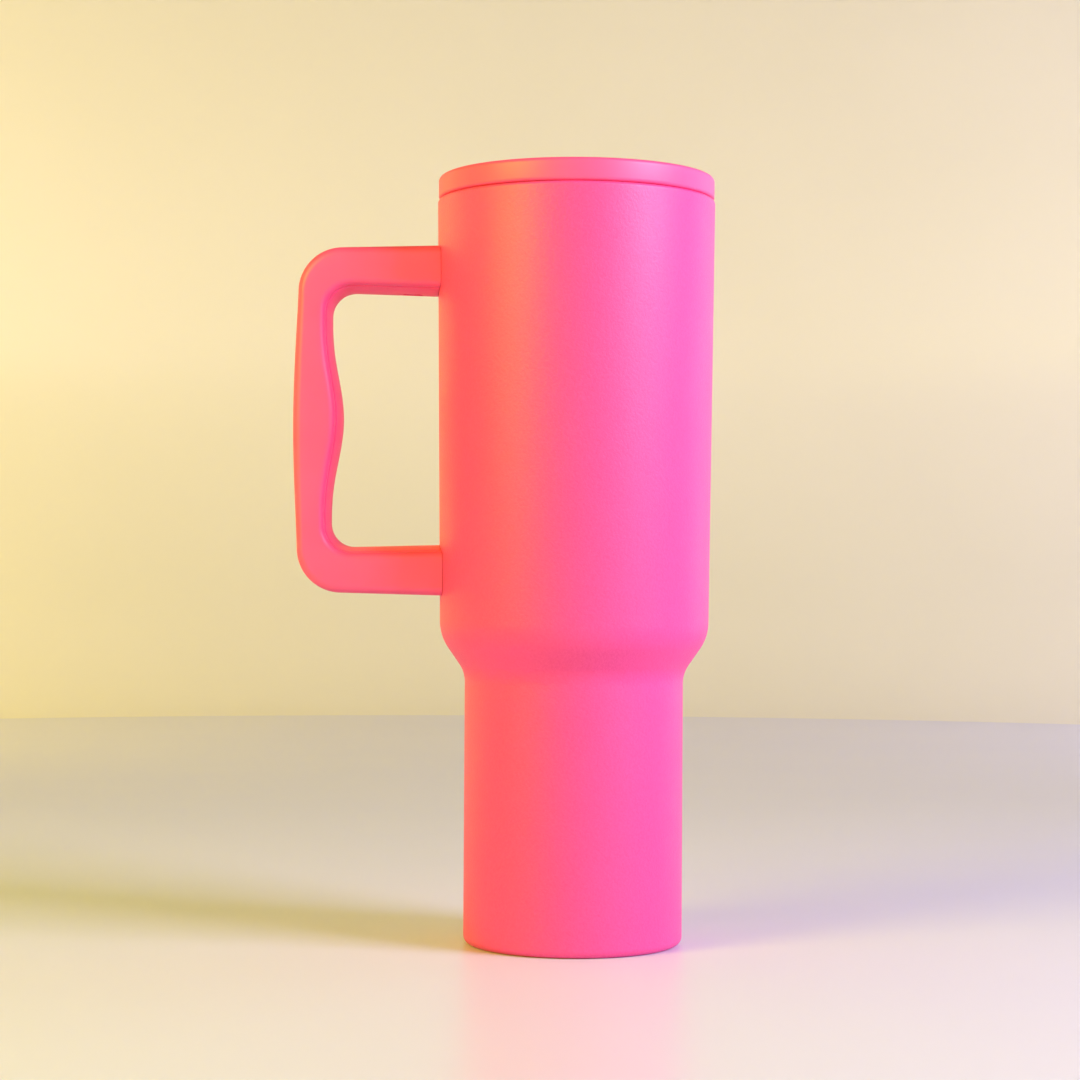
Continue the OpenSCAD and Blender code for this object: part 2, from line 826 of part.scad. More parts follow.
outer_shell();
inner_liner();
vacuum_base_plate();
vacuum_seal();
getter();
base_cover();
handle_lug(upper_arm_z);  // upper_handle_lug
handle_lug(lower_arm_z);  // lower_handle_lug
handle_frame();
grip_insert();
handle_screw(upper_arm_z);  // upper_handle_screw
handle_screw(lower_arm_z);  // lower_handle_screw
screw_plug(upper_arm_z, upper_arm_h);  // upper_screw_plug
screw_plug(lower_arm_z, lower_arm_h);  // lower_screw_plug
lid_body();
lid_lower_plate();
lid_gasket();
straw_hole_seal();
sip_hole_seal();
rotating_cover();
cover_washer();
cover_screw();
cover_cap();
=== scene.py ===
"""Insulated tumbler with a side handle and a screw-on lid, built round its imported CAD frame.

Sizes are in millimetres and become metres where a mesh is made. The axes are the frame's own:
+Z up, the handle towards -X, and the base on z = 0.
"""

import json
import math

import bmesh
import bpy
import numpy as np
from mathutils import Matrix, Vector


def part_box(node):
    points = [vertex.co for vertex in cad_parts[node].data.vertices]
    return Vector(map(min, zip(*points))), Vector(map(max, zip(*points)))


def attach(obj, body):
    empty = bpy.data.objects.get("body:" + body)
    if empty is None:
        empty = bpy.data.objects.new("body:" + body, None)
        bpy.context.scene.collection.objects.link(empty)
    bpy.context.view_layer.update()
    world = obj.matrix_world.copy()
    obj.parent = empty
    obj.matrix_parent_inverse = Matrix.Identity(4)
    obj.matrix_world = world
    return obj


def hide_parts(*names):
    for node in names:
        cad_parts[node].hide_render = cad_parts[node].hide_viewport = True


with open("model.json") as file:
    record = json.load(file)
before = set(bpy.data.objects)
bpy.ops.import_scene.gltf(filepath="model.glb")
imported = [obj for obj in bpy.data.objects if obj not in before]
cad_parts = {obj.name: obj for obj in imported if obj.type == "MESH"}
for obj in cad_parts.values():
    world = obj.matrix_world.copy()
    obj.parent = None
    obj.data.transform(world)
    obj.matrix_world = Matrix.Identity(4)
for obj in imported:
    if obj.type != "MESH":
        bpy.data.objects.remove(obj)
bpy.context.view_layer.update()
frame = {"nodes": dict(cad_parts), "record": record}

MM = 0.001


# ---- Sizes from the frame ----------------------------------------------------------------------

def box_mm(node):
    """The lowest and highest corners of a CAD node, in millimetres."""
    low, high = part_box(node)
    return low / MM, high / MM


def widest(node, low, high):
    """The largest distance from the axis of a CAD node's points between two heights."""
    points = np.array([v.co for v in frame["nodes"][node].data.vertices], float) / MM
    band = points[(points[:, 2] > low) & (points[:, 2] < high)]
    return float(np.hypot(band[:, 0], band[:, 1]).max())


shell_high = box_mm("outer_shell")[1]
liner_low = box_mm("inner_liner")[0]
base_low, base_high = box_mm("base_cover")
lid_low, lid_high = box_mm("lid_body")
cover_low, cover_high = box_mm("rotating_cover")
cap_low, cap_high = box_mm("cover_cap")
gasket_low, gasket_high = box_mm("lid_gasket")
handle_low, handle_high = box_mm("handle_frame")
upper_plug_low, upper_plug_high = box_mm("upper_screw_plug")
lower_plug_low, lower_plug_high = box_mm("lower_screw_plug")
upper_lug_low, upper_lug_high = box_mm("upper_handle_lug")
lower_lug_low, lower_lug_high = box_mm("lower_handle_lug")
straw_low, straw_high = box_mm("straw_hole_seal")
sip_low, sip_high = box_mm("sip_hole_seal")

# Cup wall. What a node's box doesn't give is the same value as in the part's source.
rim_h = shell_high.z
lower_r = widest("outer_shell", 2, 80)
mouth_r = 47.1
body_draft = 1.6
shoulder_z = 91.5
shoulder_angle = math.radians(34.7)
low_round = 11
top_round = 16
base_round = 2.6
rim_round = 1.3
shell_wall = 0.6
liner_wall = 0.5
vacuum_gap = 2.8
foot_hole_r = 31
floor_z = liner_low.z + liner_wall
floor_round = 8
neck_h = 19.5

shoulder_r = mouth_r - body_draft
shoulder_top_z = shoulder_z + (shoulder_r - lower_r) / math.tan(shoulder_angle)
neck_z = rim_h - neck_h


def wall_r(z, inset=0.0):
    """Radius of the upper wall at height z, inset from the outer surface."""
    return shoulder_r - inset + body_draft * (z - shoulder_top_z) / (rim_h - shoulder_top_z)


liner_out = shell_wall + vacuum_gap
liner_in = liner_out + liner_wall
neck_r = wall_r(neck_z, liner_in)


# ---- Meshes ------------------------------------------------------------------------------------

def make_object(name, points, faces, sharp_deg=35):
    """A mesh object from points in millimetres, smooth except where it bends more than sharp_deg."""
    mesh = bpy.data.meshes.new(name)
    mesh.from_pydata([tuple(float(c) * MM for c in p) for p in points], [], faces)
    bm = bmesh.new()
    bm.from_mesh(mesh)
    bmesh.ops.recalc_face_normals(bm, faces=bm.faces)
    bm.to_mesh(mesh)
    bm.free()
    obj = bpy.data.objects.new(name, mesh)
    bpy.context.scene.collection.objects.link(obj)
    shade(obj, sharp_deg)
    return obj


def shade(obj, sharp_deg=35):
    """Smooth shading, with sharp edges only at real corners."""
    mesh = obj.data
    mesh.polygons.foreach_set("use_smooth", [True] * len(mesh.polygons))
    mesh.set_sharp_from_angle(angle=math.radians(sharp_deg))


def corner(a, b, c, steps):
    """Points of the rounding of corner b = (x, y, radius), between its neighbours a and c."""
    here = np.array(b[:2], float)
    to_a = np.array(a[:2], float) - here
    to_c = np.array(c[:2], float) - here
    to_a /= np.linalg.norm(to_a)
    to_c /= np.linalg.norm(to_c)
    half = math.acos(max(-1.0, min(1.0, float(to_a @ to_c)))) / 2
    middle_dir = to_a + to_c
    middle = here + middle_dir / np.linalg.norm(middle_dir) * b[2] / math.sin(half)
    first = here + to_a * b[2] / math.tan(half) - middle
    last = here + to_c * b[2] / math.tan(half) - middle
    sweep = math.pi - 2 * half
    return [
        middle + (first * math.sin(sweep * (1 - t)) + last * math.sin(sweep * t)) / math.sin(sweep)
        for t in np.linspace(0, 1, steps + 1)
    ]


def rounded(outline, steps=10):
    """A closed outline of (x, y) or (x, y, rounding) corners, as points."""
    points = []
    count = len(outline)
    for i, here in enumerate(outline):
        if len(here) > 2 and here[2] > 0:
            points += corner(outline[i - 1], here, outline[(i + 1) % count], steps)
        else:
            points.append(np.array(here[:2], float))
    return points


def lathe(name, outline, segments=256, steps=10, sharp_deg=35, push=None):
    """A closed solid of revolution from an outline of (radius, height, rounding) corners.

    push(angles, heights, radii) may return how far each point of the skin moves outwards.
    """
    profile = np.array(rounded(outline, steps))
    angles = np.linspace(0, 2 * math.pi, segments, endpoint=False)
    points, rings = [], []
    for r, z in profile:
        if r < 1e-6:
            rings.append([len(points)])
            points.append((0, 0, z))
            continue
        radii = np.full(segments, r)
        if push is not None:
            radii = radii + push(angles, np.full(segments, z), radii)
        rings.append(list(range(len(points), len(points) + segments)))
        points += list(zip(radii * np.cos(angles), radii * np.sin(angles), np.full(segments, z)))
    faces = []
    for i, ring in enumerate(rings):
        after = rings[(i + 1) % len(rings)]
        if len(ring) == 1 and len(after) == 1:
            continue
        for j in range(segments):
            k = (j + 1) % segments
            if len(ring) == 1:
                faces.append((ring[0], after[k], after[j]))
            elif len(after) == 1:
                faces.append((ring[j], ring[k], after[0]))
            else:
                faces.append((ring[j], ring[k], after[k], after[j]))
    return make_object(name, points, faces, sharp_deg)


def skin(name, rings, sharp_deg=35):
    """A closed skin over rings with the same number of points, capped at both ends."""
    count = len(rings[0])
    points = [p for ring in rings for p in ring]
    faces = []
    for i in range(len(rings) - 1):
        here, after = i * count, (i + 1) * count
        for j in range(count):
            k = (j + 1) % count
            faces.append((here + j, here + k, after + k, after + j))
    faces.append(tuple(range(count)))
    faces.append(tuple((len(rings) - 1) * count + j for j in reversed(range(count))))
    return make_object(name, points, faces, sharp_deg)


def slot_ring(centre, radius, length, along, z, steps=24):
    """A ring round a slot with round ends, or round a circle when length is 0, at height z."""
    cx, cy = centre
    ux, uy = along
    ring = []
    for side in (1, -1):
        for t in np.linspace(-math.pi / 2, math.pi / 2, steps + 1):
            out = side * (length / 2 + radius * math.cos(t))
            across = side * radius * math.sin(t)
            ring.append((cx + ux * out - uy * across, cy + uy * out + ux * across, z))
    if length == 0:
        ring = ring[:steps] + ring[steps + 1:2 * steps + 1]
    return ring


def slot_solid(name, centre, length, levels, along=(1, 0), sharp_deg=35):
    """A slot-shaped or round solid through levels of (height, radius)."""
    return skin(name, [slot_ring(centre, r, length, along, z) for z, r in levels], sharp_deg)


def block(name, low, high):
    """A box between two corners, for cutting."""
    xs, ys, zs = zip(low, high)
    ring = [(xs[0], ys[0]), (xs[1], ys[0]), (xs[1], ys[1]), (xs[0], ys[1])]
    return skin(name, [[(x, y, z) for x, y in ring] for z in zs])


def combine(obj, others, operation, sharp_deg=35):
    """Applies a boolean with each of the other solids, which are used up."""
    for other in others:
        modifier = obj.modifiers.new("combine", "BOOLEAN")
        modifier.operation = operation
        modifier.solver = "EXACT"
        modifier.object = other
        graph = bpy.context.evaluated_depsgraph_get()
        result = bpy.data.meshes.new_from_object(obj.evaluated_get(graph))
        obj.modifiers.clear()
        obj.data = result
        bpy.data.objects.remove(other)
    obj.data.name = obj.name
    shade(obj, sharp_deg)
    return obj


def cut(obj, *others):
    return combine(obj, others, "DIFFERENCE")


def join(obj, *others):
    return combine(obj, others, "UNION")


# ---- Materials ---------------------------------------------------------------------------------

class Finish:
    """A Principled material and the nodes that vary it."""

    def __init__(self, name):
        self.material = bpy.data.materials.new(name)
        self.material.use_nodes = True
        self.nodes = self.material.node_tree.nodes
        self.links = self.material.node_tree.links
        self.shader = self.nodes["Principled BSDF"]
        self.place = self.nodes.new("ShaderNodeTexCoord").outputs["Object"]

    def set(self, **values):
        for socket, value in values.items():
            self.shader.inputs[socket.replace("_", " ")].default_value = value
        return self

    def node(self, kind, **values):
        made = self.nodes.new(kind)
        for key, value in values.items():
            socket = made.inputs.get(key.replace("_", " "))
            if socket is None:
                setattr(made, key, value)
            else:
                socket.default_value = value
        return made

    def noise(self, scale, detail=2.0, roughness=0.5, stretch=None):
        """Noise at a scale in cycles per metre, stretched along the axes if asked."""
        made = self.node("ShaderNodeTexNoise", Scale=scale, Detail=detail, Roughness=roughness)
        source = self.place
        if stretch:
            mapping = self.node("ShaderNodeMapping", Scale=stretch)
            self.links.new(source, mapping.inputs["Vector"])
            source = mapping.outputs["Vector"]
        self.links.new(source, made.inputs["Vector"])
        return made.outputs["Fac"]

    def spread(self, value, low, high, from_low=0.3, from_high=0.7):
        """A value mapped from its usual range to another one."""
        made = self.node("ShaderNodeMapRange", From_Min=from_low, From_Max=from_high,
                         To_Min=low, To_Max=high)
        self.links.new(value, made.inputs["Value"])
        return made.outputs["Result"]

    def colour(self, value, low, high):
        """The base colour, mixed between two colours by a value from 0 to 1."""
        made = self.node("ShaderNodeMix", data_type="RGBA")
        ends = {"A": low, "B": high}
        for socket in made.inputs:
            if socket.type == "RGBA" and socket.name in ends:
                socket.default_value = (*ends[socket.name], 1)
        self.links.new(value, made.inputs["Factor"])
        out = next(s for s in made.outputs if s.type == "RGBA")
        self.links.new(out, self.shader.inputs["Base Color"])

    def roughness(self, value):
        self.links.new(value, self.shader.inputs["Roughness"])

    def bump(self, *layers):
        """Bump layers of (height value, depth in metres), stacked."""
        normal = None
        for height, depth in layers:
            made = self.node("ShaderNodeBump", Strength=1.0, Distance=depth)
            self.links.new(height, made.inputs["Height"])
            if normal is not None:
                self.links.new(normal, made.inputs["Normal"])
            normal = made.outputs["Normal"]
        self.links.new(normal, self.shader.inputs["Normal"])


def powder_coat():
    """Satin powder coat: a fine, even grain with a little orange peel under it."""
    finish = Finish("powder_coat").set(Specular_IOR_Level=0.6)
    grain = finish.noise(2600, detail=3, roughness=0.6)
    peel = finish.noise(1200, detail=3, roughness=0.6)
    patches = finish.noise(35, detail=2)
    finish.colour(finish.spread(peel, 0, 1), (0.92, 0.062, 0.300), (0.96, 0.078, 0.342))
    finish.roughness(finish.spread(patches, 0.41, 0.47))
    finish.bump((peel, 0.0001), (grain, 0.00006))
    return finish.material


def moulded_plastic():
    """Satin polypropylene with a fine spark-eroded grain."""
    finish = Finish("moulded_plastic").set(Specular_IOR_Level=0.7)
    grain = finish.noise(3600, detail=2)
    patches = finish.noise(60, detail=2)
    finish.colour(finish.spread(patches, 0, 1), (0.93, 0.086, 0.293), (0.97, 0.096, 0.322))
    finish.roughness(finish.spread(grain, 0.43, 0.52))
    finish.bump((grain, 0.00002))
    return finish.material


def soft_grip():
    """Soft-touch layer: more matte than the plastic round it, with a faint warm bloom."""
    finish = Finish("soft_grip").set(
        Specular_IOR_Level=0.3, Sheen_Weight=0.35, Sheen_Roughness=0.4, Sheen_Tint=(1, 0.8, 0.65, 1))
    grain = finish.noise(4200, detail=2)
    patches = finish.noise(80, detail=2)
    finish.colour(finish.spread(patches, 0, 1), (0.94, 0.098, 0.285), (0.98, 0.11, 0.315))
    finish.roughness(finish.spread(grain, 0.56, 0.68))
    finish.bump((grain, 0.00003))
    return finish.material


def brushed_steel():
    """Stainless steel brushed round the axis."""
    finish = Finish("brushed_steel").set(Metallic=1.0)
    lines = finish.noise(60, detail=4, roughness=0.7, stretch=(1, 1, 90))
    finish.colour(finish.spread(lines, 0, 1), (0.50, 0.50, 0.51), (0.66, 0.66, 0.67))
    finish.roughness(finish.spread(lines, 0.22, 0.38))
    finish.bump((lines, 0.00001))
    return finish.material


def silicone():
    """Milky silicone rubber."""
    finish = Finish("silicone").set(Subsurface_Weight=0.3, Subsurface_Scale=0.002)
    patches = finish.noise(300, detail=2)
    finish.colour(finish.spread(patches, 0, 1), (0.78, 0.77, 0.75), (0.86, 0.85, 0.83))
    finish.roughness(finish.spread(patches, 0.42, 0.52))
    finish.bump((patches, 0.00002))
    return finish.material


def sealing_glass():
    """Dark fused glass."""
    finish = Finish("sealing_glass").set(Specular_IOR_Level=0.6)
    swirl = finish.noise(700, detail=3)
    finish.colour(finish.spread(swirl, 0, 1), (0.12, 0.09, 0.06), (0.25, 0.20, 0.15))
    finish.roughness(finish.spread(swirl, 0.12, 0.3))
    finish.bump((swirl, 0.00005))
    return finish.material


FINISHES = {
    "powder_coat": powder_coat(),
    "moulded_plastic": moulded_plastic(),
    "soft_grip": soft_grip(),
    "steel": brushed_steel(),
    "silicone": silicone(),
    "sealing_glass": sealing_glass(),
}


def dress(obj, slot):
    """Gives a piece the material of its slot."""
    obj.data.materials.clear()
    obj.data.materials.append(FINISHES[slot])


def place(obj, body, slot, *nodes):
    """Finishes a piece, and lets it stand for its CAD nodes."""
    dress(obj, slot)
    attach(obj, body)
    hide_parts(*nodes)


# ---- Cup ---------------------------------------------------------------------------------------

def shoulder(inset):
    """The wall's two shoulder corners, inset from the outer surface."""
    rise = inset * math.tan(shoulder_angle / 2)
    return [
        (lower_r - inset, shoulder_z + rise, low_round + inset),
        (shoulder_r - inset, shoulder_top_z + rise, top_round - inset),
    ]


def make_shell():
    lip_r = neck_r + liner_wall
    foot_edge = 0.25
    outline = [
        (foot_hole_r, 0, foot_edge), (lower_r, 0, base_round),
        *shoulder(0),
        (mouth_r, rim_h, rim_round),
        (lip_r, rim_h),
        (lip_r, rim_h - shell_wall),
        (mouth_r - shell_wall, rim_h - shell_wall, rim_round - shell_wall),
        *reversed(shoulder(shell_wall)),
        (lower_r - shell_wall, shell_wall, base_round - shell_wall),
        (foot_hole_r, shell_wall, foot_edge),
    ]
    place(lathe("shell", outline, segments=320, steps=16), "cup", "powder_coat", "outer_shell")


thread_h = 1.2
thread_clear = 0.4
thread_starts = 2
thread_lead = 8
rib_angle = 78
rib_break = 12
ribs_per_start = 2
rib_pitch = thread_lead / thread_starts
# Half-widths of a rib at its root and at its crest
rib_root = rib_pitch * 0.3
rib_crest = rib_pitch * 0.15
# Angle over which a rib's end fades out, in degrees
rib_fade = 7
gasket_clear = 0.05
thread_to_groove = 0.5
groove_z = gasket_low.z - gasket_clear
thread_rise = thread_lead * ribs_per_start * (rib_angle + rib_break) / 360
thread_z = groove_z - thread_rise - rib_root - thread_to_groove


def smooth(t):
    """A soft step from 0 to 1."""
    t = np.clip(t, 0, 1)
    return t * t * (3 - 2 * t)


def thread_push(start_z, height):
    """How far the skin stands out in the ribs of an interrupted thread that starts at start_z."""
    def push(angles, heights, radii):
        total = np.zeros_like(angles)
        step = rib_angle + rib_break
        for start in range(thread_starts):
            turn = np.degrees(angles) - 360 / thread_starts * start
            turn = turn % 360
            for k in range(ribs_per_start):
                from_end = rib_angle / 2 - np.abs(turn - (k + 0.5) * step)
                off = np.abs(heights - (start_z + thread_lead * turn / 360))
                flank = smooth((rib_root - off) / (rib_root - rib_crest))
                total = np.maximum(total, smooth(from_end / rib_fade + 0.5) * flank)
        return total * height
    return push


def stacked(r, low, high, step=0.35):
    """Outline points up or down a straight wall, close enough together to carry a thread."""
    count = max(2, int(abs(high - low) / step))
    return [(r, z) for z in np.linspace(low, high, count)]


def make_liner():
    thread_top = groove_z - 0.3
    thread_low = thread_z - rib_root - 0.4
    ribs = thread_push(thread_z, -thread_h)

    def push(angles, heights, radii):
        inside = np.abs(radii - neck_r) < 0.01
        return np.where(inside, ribs(angles, heights, radii), 0)

    outline = [
        (0, floor_z - liner_wall),
        (lower_r - liner_out, floor_z - liner_wall, floor_round + liner_wall),
        *shoulder(liner_out),
        (neck_r + liner_wall, neck_z), (neck_r + liner_wall, rim_h),
        (neck_r, rim_h, liner_wall / 2),
        *stacked(neck_r, thread_top, thread_low),
        (neck_r, neck_z),
        *reversed(shoulder(liner_in)),
        (lower_r - liner_in, floor_z, floor_round),
        (0, floor_z),
    ]
    place(lathe("liner", outline, push=push, sharp_deg=50), "cup", "steel", "inner_liner")


def make_base_cover():
    """Disc under the base, with a shallow pressed ring."""
    low, high = base_low.z, base_high.z
    pressed = 0.25
    step_round = 0.8
    outline = [
        (0, low + pressed), (foot_hole_r * 0.62, low + pressed, step_round),
        (foot_hole_r * 0.66, low, step_round),
        (base_high.x, low, 0.1), (base_high.x, high, 0.3), (0, high),
    ]
    place(lathe("base_disc", outline), "cup", "powder_coat", "base_cover")


# ---- Handle ------------------------------------------------------------------------------------

upper_arm_z = (upper_lug_low.z + upper_lug_high.z) / 2
lower_arm_z = (lower_lug_low.z + lower_lug_high.z) / 2
upper_arm_h = 14.1
lower_arm_h = 14.9
arm_flare = 1.3
handle_w = handle_high.y - handle_low.y
finger_gap = 36.3
grip_t = 11
# A long even bulge outside, and a swell that is short enough to sit between two fingers
grip_bulge = 1.5
bulge_power = 1.2
swell = 3.9
swell_power = 2.8
outer_corner = 15
inner_corner = 8
outer_edge = 3
insert_t = 2.1
insert_crown = 1.7
insert_step = 2.6
insert_edge = 0.6
frame_inner_edge = 2.6
handle_gap = 0.15
grip_in = wall_r((upper_arm_z + lower_arm_z) / 2) + finger_gap
grip_out = grip_in + grip_t
arm_start = lower_r
lug_l = 16
lug_w = 12
lug_foot_w = 16
lug_foot_t = 1.4
# How much further a lug's foot reaches up and down than its tongue
lug_foot_step = 0.8
lug_clear = 0.2
plug_gap = 0.12
screw_x = (upper_plug_low.x + upper_plug_high.x) / 2


def side_points(reach, sign, radius, depth, power):
    """Points along one side of the handle, with the grip's face pushed out by depth."""
    top = upper_arm_z + sign * upper_arm_h / 2
    bottom = lower_arm_z - sign * lower_arm_h / 2
    flare = sign * arm_flare
    start = (arm_start, top + flare)
    end = (arm_start, bottom - flare)
    elbow_top = (reach, top, radius)
    elbow_bottom = (reach, bottom, radius)
    upper = corner(start, elbow_top, elbow_bottom, 28)
    lower = corner(elbow_top, elbow_bottom, end, 28)
    grip = [
        upper[-1] + (lower[0] - upper[-1]) * t + np.array([depth * math.sin(math.pi * t) ** power, 0])
        for t in np.linspace(0, 1, 65)[1:-1]
    ]
    return [np.array(start), *upper, *grip, *lower, np.array(end)]


outer_side = side_points(grip_out, 1, outer_corner, grip_bulge, bulge_power)
inner_side = side_points(grip_in, -1, inner_corner, -swell, swell_power)


def dense(loop, step=1.6):
    """A closed loop with extra points on its long straight stretches."""
    points = []
    for i, here in enumerate(loop):
        after = loop[(i + 1) % len(loop)]
        count = max(1, int(np.linalg.norm(after - here) / step))
        points += [here + (after - here) * k / count for k in range(count)]
    return points


def handle_rings(near, far, width, near_round, far_round, crown=0.0):
    """Cross-sections along the handle, between two distances from its inner side.

    far is None at the handle's outer side. The crown is how far the edges of the near face lie
    behind its middle.
    """
    half = width / 2
    # Any span longer than both roundings serves for the outline that the stations stretch
    usual = grip_t + 2 - near if far is None else far - near
    outline = dense([np.array(p) for p in rounded([
        (0, -half, near_round), (usual, -half, far_round),
        (usual, half, far_round), (0, half, near_round)], 8)])
    rings = []
    for a, b in zip(inner_side, outer_side):
        whole = np.linalg.norm(b - a)
        along = (b - a) / whole
        span = (whole if far is None else far) - near
        ring = []
        for s, y in outline:
            # The roundings keep their size, and only the flat between them stretches
            if s <= near_round:
                reach = s
            elif s >= usual - far_round:
                reach = span - (usual - s)
            else:
                core = (s - near_round) / (usual - near_round - far_round)
                reach = near_round + core * (span - near_round - far_round)
            reach += crown * (y / half) ** 2 * (1 - reach / span)
            out = a + along * (near + reach)
            ring.append((-out[0], y, out[1]))
        rings.append(ring)
    return rings


def upper_body(gap):
    """The upper body's outer cone, grown by a gap, for cutting the arms to fit."""
    return lathe("upper_body", [
        (0, shoulder_top_z), (shoulder_r + gap, shoulder_top_z), (mouth_r + gap, rim_h), (0, rim_h),
    ])


def arm_cutters():
    """The body's outline, and the sockets and screw holes of both arms."""
    found = [upper_body(handle_gap)]
    pairs = (
        (upper_lug_low, upper_lug_high, upper_plug_low, upper_plug_high),
        (lower_lug_low, lower_lug_high, lower_plug_low, lower_plug_high),
    )
    # The lug's tongue is narrower and lower than its welded foot
    tongue_y = lug_w / 2 + lug_clear
    tongue_step = lug_foot_step - lug_clear
    foot_y = lug_foot_w / 2 + lug_clear
    foot_reach = lug_l - lug_foot_t - lug_clear
    hole_taper = 0.15
    for lug_low, lug_high, plug_low, plug_high in pairs:
        found.append(block("socket", (lug_low.x - lug_clear, -tongue_y, lug_low.z + tongue_step),
                           (-arm_start, tongue_y, lug_high.z - tongue_step)))
        found.append(block("foot", (lug_low.x + foot_reach, -foot_y, lug_low.z - lug_clear),
                           (-arm_start, foot_y, lug_high.z + lug_clear)))
        hole_r = (plug_high.x - plug_low.x) / 2 + plug_gap
        found.append(slot_solid("plug_hole", (screw_x, 0), 0, [
            (plug_low.z - 3, hole_r + hole_taper), (plug_high.z + 2, hole_r),
        ]))
    return found


def make_handle():
    rings = handle_rings(insert_t, None, handle_w, frame_inner_edge, outer_edge)
    body = skin("handle", rings, sharp_deg=50)
    cut(body, *arm_cutters())
    place(body, "cup", "moulded_plastic", "handle_frame")

    rings = handle_rings(0, insert_t, handle_w - 2 * insert_step, insert_edge, 0, insert_crown)
    insert = skin("grip", rings, sharp_deg=50)
    cut(insert, *arm_cutters())
    place(insert, "cup", "soft_grip", "grip_insert")

    for name, low, high in (("upper", upper_plug_low, upper_plug_high),
                            ("lower", lower_plug_low, lower_plug_high)):
        r = (high.x - low.x) / 2
        plug = slot_solid(f"{name}_plug", (screw_x, 0), 0, [
            (low.z + 0.2, r - 0.5), (low.z + 0.3, r - 0.2), (low.z + 0.5, r), (high.z, r),
        ])
        place(plug, "cup", "moulded_plastic", f"{name}_screw_plug")


# ---- Lid ---------------------------------------------------------------------------------------

lid_r = lid_high.x
lid_top = lid_high.z
plug_z = lid_low.z
plug_h = 15.1
plug_wall = 2.4
band_t = 2.4
lid_z = plug_z + plug_h
lid_edge = 1.6
lid_low_edge = 1.2
cover_gap = 0.35
well_r = cover_high.x + cover_gap
deck_drop = 3.6
deck_t = 2
deck_top = lid_top - deck_drop
deck_bottom = deck_top - deck_t
plug_r = neck_r - thread_h - thread_clear
plug_in = plug_r - plug_wall
band_in = lid_r - band_t
gasket_groove = 0.9
groove_r = plug_r - gasket_groove
groove_top = gasket_high.z + gasket_clear
tube_wall = 1.5
straw = (0, (straw_low.y + straw_high.y) / 2)
sip = (0, (sip_low.y + sip_high.y) / 2)
seal_lip = 2.2
seal_seat = 1
straw_r = (straw_high.y - straw_low.y) / 2 - seal_lip
sip_r = (sip_high.y - sip_low.y) / 2 - seal_lip
sip_run = (sip_high.x - sip_low.x) - (sip_high.y - sip_low.y)
# The vent is on the sipping hole's side, inside the window when that hole is open
vent_inset = 3
vent = (0, vent_inset - straw[1])
vent_r = 1
post_r = 4
post_clear = 0.05
washer_t = 0.5
post_top = cap_low.z - washer_t
boss_r = 4.6
boss_h = 8
boss_floor = 1
boss_z = deck_bottom - boss_h
screw_r = 1.5
stop_reach = 12
stop_r = 1.5
stop_depth = 1.2
stop_gap = 0.35
# How far one solid is pushed into another that it joins, and a cut past a surface
sunk = 0.5
cut_past = 1


def tube(name, centre, length, radius, low, high):
    """A slot-shaped or round solid of one radius."""
    return slot_solid(name, centre, length, [(low, radius), (high, radius)])


def bore(name, centre, length, radius):
    """Cutter for a hole through the lid, with an eased edge at the bottom of the plug."""
    ease = 0.4
    return slot_solid(name, centre, length, [
        (plug_z - cut_past, radius + ease), (plug_z + 0.5, radius), (lid_top, radius),
    ])


def make_lid():
    ribs = thread_push(thread_z - rib_pitch / 2, neck_r - thread_clear - plug_r)

    def push(angles, heights, radii):
        outside = (np.abs(radii - plug_r) < 0.01) & (heights < groove_z)
        return np.where(outside, ribs(angles, heights, radii), 0)

    body = lathe("lid", [
        (0, deck_bottom), (plug_in, deck_bottom, 1), (plug_in, plug_z, 0.5), (plug_r, plug_z, 0.6),
        *stacked(plug_r, plug_z + 0.7, groove_z - 0.2),
        (plug_r, groove_z), (groove_r, groove_z, 0.2), (groove_r, groove_top, 0.2),
        (plug_r, groove_top), (plug_r, deck_bottom, 0.5), (band_in, deck_bottom, 0.5),
        (band_in, lid_z, 0.4), (lid_r, lid_z, lid_low_edge), (lid_r, lid_top, lid_edge),
        (well_r, lid_top, 0.7), (well_r, deck_top, 0.5), (0, deck_top),
    ], push=push, sharp_deg=50)
    join(
        body,
        tube("straw_tube", straw, 0, straw_r + tube_wall, plug_z, deck_bottom + sunk),
        tube("sip_tube", sip, sip_run, sip_r + tube_wall, plug_z, deck_bottom + sunk),
        slot_solid("boss", (0, 0), 0, [
            (boss_z, boss_r - 0.3), (boss_z + 0.3, boss_r), (deck_bottom + sunk, boss_r),
        ]),
        tube("post", (0, 0), 0, post_r, deck_top - sunk, post_top),
    )
    seat = deck_top - seal_seat
    cut(
        body,
        bore("straw_bore", straw, 0, straw_r),
        tube("straw_seat", straw, 0, straw_r + seal_lip, seat, lid_top),
        bore("sip_bore", sip, sip_run, sip_r),
        tube("sip_seat", sip, sip_run, sip_r + seal_lip, seat, lid_top),
        tube("vent", vent, 0, vent_r, plug_z - cut_past, lid_top),
        tube("screw_bore", (0, 0), 0, screw_r, boss_z + boss_floor, lid_top + cut_past),
        stop_groove(),
    )
    place(body, "lid", "moulded_plastic", "lid_body")


def stop_groove():
    """Blind arc groove in the deck, which the cover's lug runs in."""
    cover_turn = 90
    spare_turn = 2
    half_angle = math.radians(cover_turn + math.degrees(math.asin(stop_r / stop_reach)) + spare_turn)
    near, far = stop_reach - stop_r - stop_gap, stop_reach + stop_r + stop_gap
    low, high = deck_top - stop_depth, deck_top + cut_past
    section = ((near, low), (far, low), (far, high), (near, high))
    rings = [
        [(r * math.cos(a), r * math.sin(a), z) for r, z in section]
        for a in np.linspace(math.pi - half_angle, math.pi + half_angle, 73)
    ]
    return skin("stop_groove", rings)


